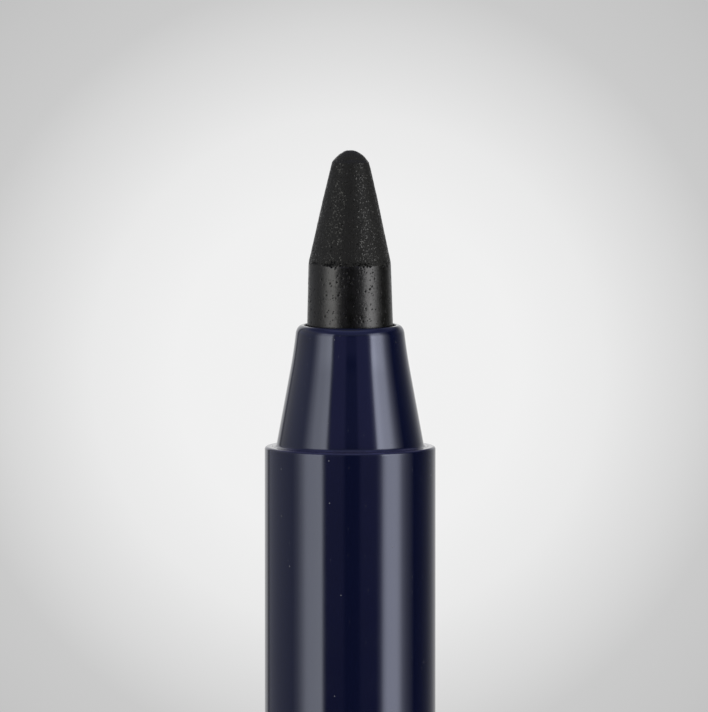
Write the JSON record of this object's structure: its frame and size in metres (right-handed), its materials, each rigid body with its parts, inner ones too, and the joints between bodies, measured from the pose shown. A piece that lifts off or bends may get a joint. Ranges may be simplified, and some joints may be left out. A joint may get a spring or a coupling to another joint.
{
  "type": "retractable eyeliner pencil",
  "caption": "Slim round twist-up cosmetic pencil in glossy navy plastic, with a tapered nose and a thick black lead, standing on its tail.",
  "frame": {"origin": "centre of the tail's flat resting ring, on the pencil's axis, at the lowest point", "axes": "+Z along the pencil's axis from the tail to the lead's tip, +Y into the picture, +X to its right"},
  "size_m": [0.009, 0.009, 0.1276],
  "materials": {
    "navy_gloss": "glossy moulded plastic, near-black navy",
    "lead_black": "waxy black cosmetic lead, satin on the straight body and grainy matt on the cone",
    "inner_white": "natural white low-friction plastic",
    "inner_grey": "dark grey moulded plastic",
    "brake_rubber": "black rubber"
  },
  "bodies": {
    "barrel": {"barrel": "navy_gloss", "nose_cone": "navy_gloss", "guide_tube": "inner_white", "bearing_collar": "inner_grey"},
    "base": {"twist_base": "navy_gloss", "end_plug": "navy_gloss", "base_core": "inner_grey", "brake_ring": "brake_rubber", "helix_sleeve": "inner_white"},
    "carriage": {"lead": "lead_black", "lead_cup": "inner_grey", "push_rod": "inner_white"}
  },
  "joints": [
    {"name": "base_twist", "type": "hinge", "parent": "barrel", "child": "base", "pos_m": [0, 0, 0.01815], "axis": [0, 0, 1], "range_deg": [-609.9, 719.9]},
    {"name": "lead_slide", "type": "slide", "parent": "barrel", "child": "carriage", "axis": [0, 0, 1], "range_m": [-0.01015, 0.01198]}
  ],
  "couplings": [
    {"joint": "base_twist", "follows": "lead_slide", "rad_per_m": 1047.2}
  ]
}
